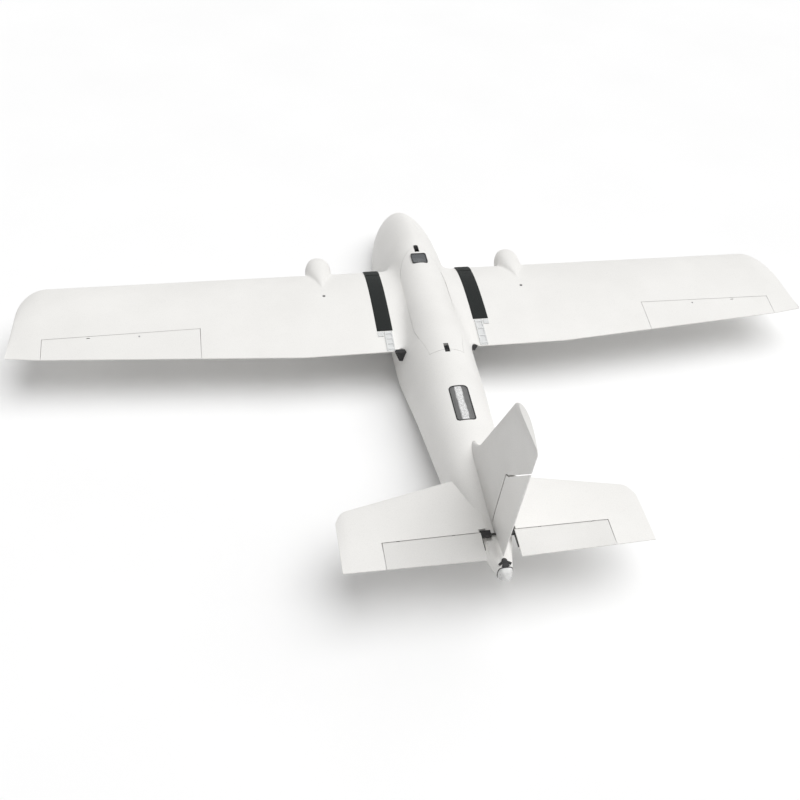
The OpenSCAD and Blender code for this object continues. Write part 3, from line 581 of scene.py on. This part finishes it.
cut(elev, block(ELEV_HORN - 4.05, ELEV_HORN + 6.05, ELEV_Y + 3.45, ELEV_Y + 16.55, TAIL_Z - eh - 20,
    TAIL_Z - eh + 1.45))
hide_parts("elevator_left")
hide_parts("elevator_right")


# ---- fin and rudder ----
def fin_ring(z, m=36):
    out = []
    for v in fan(m):
        u = abs(v)
        y = mix(fin_lead(z), fin_trail(z), u)
        out.append((sgn(v) * fin_h(z, y), y, z + 19.8 * clamp((z - FIN_TOP + 40) / 40) * u * (1 - u)))
    return out


def rud_ring(z, g, n=20):
    r0 = fin_h(z, rud_at(z)) + g
    ring = [(r0 * math.cos(math.pi * i / n), rud_at(z) - r0 * math.sin(math.pi * i / n), z)
        for i in range(n + 1)]
    if g > 0:
        return ring + [(-40, rud_at(z), z), (-40, 700, z), (40, 700, z), (40, rud_at(z), z)]
    ys = [mix(rud_at(z), fin_trail(z), i / 16) for i in range(1, 17)]
    return ring + [(-fin_h(z, y), y, z) for y in ys] + [(fin_h(z, y), y, z) for y in reversed(ys)]


def rud_block(name, g):
    ob = loft(name, [rud_ring(z, g) for z in np.linspace(0, 300, 51)])
    k = 1 if g > 0 else 0
    line = [(480, 41 - k * 1.2), (700, -7 - k * 1.2), (700, 354 + k * 1.6), (590, 231.4 + k * 2.6),
        (575, 214.7 + k * 4.2), (560, 198 + k * 4.1), (545, 187 + k * 3.3), (535, 183 + k * 1.4),
        (480, 183 + k * 1.2)]
    return boolean(ob, loft("cut", [[(x, y, z) for y, z in line] for x in (-40, 40)]), "INTERSECT")


lean = math.radians(RUD_LEAN)
UP, AFT = Vector((0, math.sin(lean), math.cos(lean))), Vector((0, math.cos(lean), -math.sin(lean)))


def rud_box(d, h0, h1, a0, a1, x0, x1):
    """A block set along the rudder hinge: d is the height, h across the hinge line, a aft of it."""
    p = Vector((0, rud_at(20), 20)) + UP * d
    pts = [p + UP * h + AFT * a for h, a in ((h0, a0), (h1, a0), (h1, a1), (h0, a1))]
    return loft("cut", [[(x, q.y, q.z) for q in pts] for x in (x0, x1)])


fin_zs = [20, 26, 32, *np.arange(38, FIN_TOP - 14, 6)]
fin_zs += [FIN_TOP - d for d in (13, 11, 9, 7, 5, 3.5, 2, 1, 0)]
fin = loft("fin_foam", [fin_ring(z) for z in fin_zs])
cut(fin, body_solid("cut", 5, -NOSE_Y + 10, CONE_Y), rod_x(-40, 40, ELEV_Y, TAIL_Z, 5.2),
    rud_block("cut", 0.8), block(-20, 20, ELEV_Y, ELEV_Y + 60, 0, 24))
cut(fin, rod_x(11, 34, ELEV_Y, TAIL_Z, 11.4, 60), rod_x(-34, -11, ELEV_Y, TAIL_Z, 11.4, 60))
cut(fin, rud_box(RUD_HORN, -5.6, 20.4, -TAIL_ROD - 17.45, -TAIL_ROD + 14.1, -40, 4.5))
for d in RUD_PINS:
    cut(fin, rud_box(d, -3.05, 3.05, -15.05, -0.05, -1.25, 1.25))
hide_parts("fin")
rudder = rud_block("rudder_foam", 0)
cut(rudder, rud_box(RUD_HORN, -6.05, 4.05, 3.45, 16.55, -26, -4.55))
for d in RUD_PINS:
    cut(rudder, rud_box(d, -3.6, 3.6, -10, 4, -6.1, 6.1))
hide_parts("rudder")
seat = loft("cut", [fin_ring(z, 24) for z in [20, 30, 40, 60, 80, 100, 140]])
cut(seat, body_solid("cut", 5, -NOSE_Y + 10, CONE_Y))
cut(outer, seat, rud_block("cut", 0.8))

FOAM = {
    outer: "airframe", wing: "airframe", wing_r: "airframe",
    plane: "airframe", plane_r: "airframe", fin: "airframe",
    hatch: "hatch_assembly", aileron: "left_aileron", aileron_r: "right_aileron",
    elev: "elevators", elev_r: "elevators", rudder: "rudder_surface",
}
for o, body in FOAM.items():
    smooth(o)
    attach(o, body)


# ---- straps ----
def strap(s):
    v1 = 0.8 if s > 0 else 0.735
    # two runs of webbing: the second lies on the first, round the leading edge
    runs = []
    for k, (a, b, o, t) in enumerate(((-0.78, v1, 0.25, 1.1), (-0.06, 0.118, 1.35, 1.0))):
        rows, vs, us = [], np.linspace(a, b, 150 if k == 0 else 16), np.linspace(0, 1, 17)
        for v in vs:
            top = [wing_at(mix(JOINT - 17, JOINT + 18, u), v, o + t * (1 - (2 * u - 1) ** 8) ** 0.5 + 0.12)
                for u in us]
            bot = [wing_at(mix(JOINT - 17, JOINT + 18, u), v, o) for u in reversed(us)]
            rows.append([(s * x, y, z) for x, y, z in top + bot])
        runs.append(loft("wing_strap_run_%s_%d" % ("left" if s > 0 else "right", k), rows))
    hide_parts("wing_strap_left" if s > 0 else "wing_strap_right")
    for r in runs:
        smooth(r, 60)
        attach(r, "airframe")
    return runs


STRAPS = strap(1) + strap(-1)

# ---- horn screws on top of the ailerons ----
SCREWS = []


def screw_head(name, x, y, z, body, r=1.9):
    rings = []
    for rr, h in ((r, -0.4), (r, 0.35), (r * 0.92, 0.55), (r * 0.6, 0.62), (r * 0.5, 0.3), (r * 0.2, 0.28)):
        rings.append([(a, b, z + h) for a, b in circle(x, y, rr, 24)])
    o = loft(name, rings)
    smooth(o, 50)
    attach(o, body)
    SCREWS.append(o)


for s, side in ((1, "left"), (-1, "right")):
    screw_head("aileron_horn_screw_" + side, s * AIL_HORN, -AIL_H + 8, wing_z(AIL_HORN, -AIL_H + 8),
        side + "_aileron")


# ---- materials ----
class Mat:
    def __init__(self, name, **inputs):
        self.m = bpy.data.materials.new(name)
        self.m.use_nodes = True
        self.t = self.m.node_tree
        self.b = self.t.nodes["Principled BSDF"]
        for k, v in inputs.items():
            self.b.inputs[k.replace("_", " ")].default_value = v
        self.co = self.t.nodes.new("ShaderNodeTexCoord").outputs["Object"]

    def node(self, kind, links=None, **values):
        n = self.t.nodes.new(kind)
        for k, v in values.items():
            if k.startswith("in_"):
                key = k[3:]
                n.inputs[int(key) if key.isdigit() else key.replace("_", " ")].default_value = v
            else:
                setattr(n, k, v)
        for k, v in (links or {}).items():
            self.t.links.new(v, n.inputs[k])
        return n

    def ramp(self, fac, stops):
        n = self.node("ShaderNodeValToRGB", {"Fac": fac})
        e = n.color_ramp.elements
        e[0].position, e[0].color = stops[0][0], stops[0][1]
        e[1].position, e[1].color = stops[-1][0], stops[-1][1]
        for p, c in stops[1:-1]:
            e.new(p).color = c
        return n.outputs["Color"]

    def set(self, socket, out):
        self.t.links.new(out, self.b.inputs[socket])

    def bump(self, height, strength, distance, normal=None):
        n = self.node("ShaderNodeBump", {"Height": height}, in_Strength=strength, in_Distance=distance)
        if normal:
            self.t.links.new(normal, n.inputs["Normal"])
        self.set("Normal", n.outputs["Normal"])
        return n.outputs["Normal"]


def grey(v, w=0.0):
    return (v, v * (1 - 0.3 * w), v * (1 - w), 1)


def foam_material(name="foam", k=1.0):
    m = Mat(name, Roughness=0.5)
    m.b.inputs["Specular IOR Level"].default_value = 0.35
    edges = m.node("ShaderNodeTexVoronoi", {"Vector": m.co}, in_Scale=260.0)
    edges.feature = "DISTANCE_TO_EDGE"
    broad = m.node("ShaderNodeTexNoise", {"Vector": m.co}, in_Scale=7.0, in_Detail=4.0)
    # k scales the whole foam tone; k below 1 gives the darker copy that paints shade on the fin
    tone = m.ramp(broad.outputs["Fac"], [(0.3, (0.845 * k, 0.835 * k, 0.812 * k, 1)),
        (0.7, (0.895 * k, 0.885 * k, 0.862 * k, 1))])
    cell = m.ramp(edges.outputs["Distance"], [(0.0, (0.93, 0.93, 0.93, 1)), (0.09, (1, 1, 1, 1))])
    mul = m.node("ShaderNodeMix", data_type="RGBA", blend_type="MULTIPLY")
    mul.inputs["Factor"].default_value = 0.6
    m.t.links.new(tone, mul.inputs[6])
    m.t.links.new(cell, mul.inputs[7])
    m.set("Base Color", mul.outputs[2])
    rough = m.node("ShaderNodeTexNoise", {"Vector": m.co}, in_Scale=40.0, in_Detail=3.0)
    m.set("Roughness", m.ramp(rough.outputs["Fac"], [(0.3, grey(0.42)), (0.7, grey(0.58))]))
    first = m.bump(broad.outputs["Fac"], 0.12, 0.002)
    m.bump(edges.outputs["Distance"], 0.18, 0.0004, first)
    return m.m


def plain(name, colour, rough=0.5, metal=0.0, scale=120.0, vary=0.12, bump=0.15, **more):
    m = Mat(name, Roughness=rough, Metallic=metal, **more)
    n = m.node("ShaderNodeTexNoise", {"Vector": m.co}, in_Scale=scale, in_Detail=5.0)
    lo = tuple(c * (1 - vary) for c in colour) + (1,)
    hi = tuple(min(1, c * (1 + vary)) for c in colour) + (1,)
    m.set("Base Color", m.ramp(n.outputs["Fac"], [(0.3, lo), (0.7, hi)]))
    m.set("Roughness", m.ramp(n.outputs["Fac"],
        [(0.3, grey(max(0.02, rough - 0.08))), (0.7, grey(min(1, rough + 0.08)))]))
    m.bump(n.outputs["Fac"], bump, 0.0003)
    return m.m


def strap_material():
    m = Mat("strap", Roughness=0.82)
    m.b.inputs["Specular IOR Level"].default_value = 0.2
    m.b.inputs["Sheen Weight"].default_value = 0.15
    a = m.node("ShaderNodeTexWave", {"Vector": m.co}, in_Scale=330.0, in_Distortion=0.4)
    a.wave_type, a.bands_direction = "BANDS", "X"
    b = m.node("ShaderNodeTexWave", {"Vector": m.co}, in_Scale=330.0, in_Distortion=0.4)
    b.wave_type, b.bands_direction = "BANDS", "Y"
    w = m.node("ShaderNodeMath", {0: a.outputs["Fac"], 1: b.outputs["Fac"]}, operation="MULTIPLY")
    m.set("Base Color", m.ramp(w.outputs[0], [(0.0, (0.012, 0.0145, 0.014, 1)),
        (1.0, (0.03, 0.034, 0.033, 1))]))
    m.bump(w.outputs[0], 0.5, 0.0004)
    return m.m


def plate_painted_highlight_material():
    """Painted highlight: a bright mottled strip down the middle paints the reflection of the light on the
    curved plate, brushed grey to either side.
    """
    m = Mat("bright_plate", Roughness=0.45, Metallic=0.15)
    sep = m.node("ShaderNodeSeparateXYZ", {"Vector": m.co})
    off = m.node("ShaderNodeMath", {0: sep.outputs["X"]}, operation="ADD", in_1=-0.001)
    absx = m.node("ShaderNodeMath", {0: off.outputs[0]}, operation="ABSOLUTE")
    wob = m.node("ShaderNodeTexNoise", {"Vector": m.co}, in_Scale=90.0, in_Detail=4.0)
    shift = m.node("ShaderNodeMath", {0: wob.outputs["Fac"]}, operation="MULTIPLY_ADD", in_1=0.006,
        in_2=-0.003)
    edge = m.node("ShaderNodeMath", {0: absx.outputs[0], 1: shift.outputs[0]}, operation="ADD")
    # mask of the painted highlight strip along the middle of the plate
    highlight_band = m.node("ShaderNodeMapRange", {"Value": edge.outputs[0]})
    highlight_band.inputs["From Min"].default_value, highlight_band.inputs["From Max"].default_value = 0.0056, 0.0082
    grain = m.node("ShaderNodeTexVoronoi", {"Vector": m.co}, in_Scale=420.0)
    # mottled colour of the painted highlight
    highlight_mottle = m.ramp(grain.outputs["Distance"], [(0.1, grey(0.95)), (0.7, grey(0.6))])
    mp = m.node("ShaderNodeMapping", {"Vector": m.co})
    mp.inputs["Scale"].default_value = (900, 14, 900)
    brush = m.node("ShaderNodeTexNoise", {"Vector": mp.outputs["Vector"]}, in_Scale=1.0, in_Detail=3.0)
    side = m.ramp(brush.outputs["Fac"], [(0.3, grey(0.13)), (0.7, grey(0.2))])
    mx = m.node("ShaderNodeMix", data_type="RGBA")
    m.t.links.new(highlight_band.outputs["Result"], mx.inputs["Factor"])
    m.t.links.new(highlight_mottle, mx.inputs[6])
    m.t.links.new(side, mx.inputs[7])
    m.set("Base Color", mx.outputs[2])
    m.bump(grain.outputs["Distance"], 0.3, 0.0006)
    return m.m


MATS = {
    "foam": foam_material(),
    "strap": strap_material(),
    # the bright_plate slot carries a painted highlight strip down its middle
    "bright_plate": plate_painted_highlight_material(),
    "black_plastic": plain("black_plastic", (0.02, 0.02, 0.021), 0.42),
    "clear_plastic": plain("clear_plastic", (0.86, 0.87, 0.87), 0.22, scale=60, vary=0.05, Alpha=0.62),
    "carbon": plain("carbon", (0.03, 0.03, 0.033), 0.35),
    "servo_case": plain("servo_case", (0.03, 0.03, 0.035), 0.4),
    "white_plastic": plain("white_plastic", (0.8, 0.8, 0.78), 0.4),
    "steel": plain("steel", (0.45, 0.45, 0.46), 0.3, 1.0),
    "plate_metal": plain("plate_metal", (0.35, 0.36, 0.37), 0.35, 1.0),
    "smoked_pane": plain("smoked_pane", (0.2, 0.21, 0.22), 0.12, scale=30, vary=0.15, bump=0.05, Alpha=0.55),
    "module_case": plain("module_case", (0.75, 0.75, 0.73), 0.5),
    "electronics": plain("electronics", (0.03, 0.05, 0.16), 0.4),
    "cap_plastic": plain("cap_plastic", (0.72, 0.72, 0.71), 0.3),
    "plywood": plain("plywood", (0.5, 0.36, 0.2), 0.6, scale=25, vary=0.2),
    "battery_wrap": plain("battery_wrap", (0.02, 0.06, 0.3), 0.3),
}
# a 10% darker copy of the foam: on the fin it is painted shade for its shaded face; on the elevators it only
# makes them darker than the tailplane
DARKER_FOAM_FIN_SHADE = foam_material("foam_flaps", 0.9)
slot_of = {p["node"]: p["material_slot"] for p in frame["record"]["subparts"]}
for name, ob in frame["nodes"].items():
    if ob.hide_render:
        continue
    mat = MATS[slot_of[name]]
    if ob.material_slots:
        for sl in ob.material_slots:
            sl.link = "OBJECT"
            sl.material = mat
    else:
        ob.data.materials.append(mat)
for o in FOAM:
    o.data.materials.clear()
    # fin and elevators take the darker foam copy, which is painted shade on the fin
    o.data.materials.append(DARKER_FOAM_FIN_SHADE if o in (elev, elev_r, fin) else MATS["foam"])
for o in STRAPS:
    o.data.materials.append(MATS["strap"])
for o in SCREWS:
    o.data.materials.append(MATS["steel"])

# ---- floor, light, camera ----
bm = bmesh.new()
for x, y in ((-9, -9), (9, -9), (9, 9), (-9, 9)):
    bm.verts.new((x, y, -0.0005))
bm.faces.new(bm.verts)
fm = bpy.data.meshes.new("floor")
bm.to_mesh(fm)
bm.free()
floor = bpy.data.objects.new("floor", fm)
bpy.context.scene.collection.objects.link(floor)
fl = plain("floor_paint", (0.97, 0.97, 0.97), 0.9, scale=3, vary=0.008, bump=0.0)
fm.materials.append(fl)

sun = bpy.data.lights.new("key", "SUN")
sun.energy, sun.angle = 2.36, math.radians(70)
so = bpy.data.objects.new("key", sun)
so.rotation_mode = "QUATERNION"
so.rotation_quaternion = Vector((0.32, 0.0, -0.94)).to_track_quat("-Z", "Y")
bpy.context.scene.collection.objects.link(so)
w = bpy.data.worlds.new("studio")
w.use_nodes = True
w.node_tree.nodes["Background"].inputs["Color"].default_value = (1, 1, 1, 1)
w.node_tree.nodes["Background"].inputs["Strength"].default_value = 0.32
bpy.context.scene.world = w
bpy.context.scene.view_settings.view_transform = "Standard"

cam = bpy.data.cameras.new("camera")
co = bpy.data.objects.new("camera", cam)
bpy.context.scene.collection.objects.link(co)
cam_right = Vector((-0.97673, 0.198748, 0.080609))
cam_up = Vector((-0.073035, -0.661607, 0.746285))
cam_ahead = Vector((-0.201654, -0.723032, -0.660727))
cam_at = Matrix((cam_right, cam_up, -cam_ahead)).transposed().to_4x4()
cam_at.translation = Vector((0.434608, 1.661260 + Y_OFF / 1000, 1.424010 + Z_OFF / 1000))
co.matrix_world = cam_at
cam.sensor_width, cam.lens, cam.shift_x, cam.shift_y = 36.0, 45.851, -0.060546, -0.020451
bpy.context.scene.camera = co
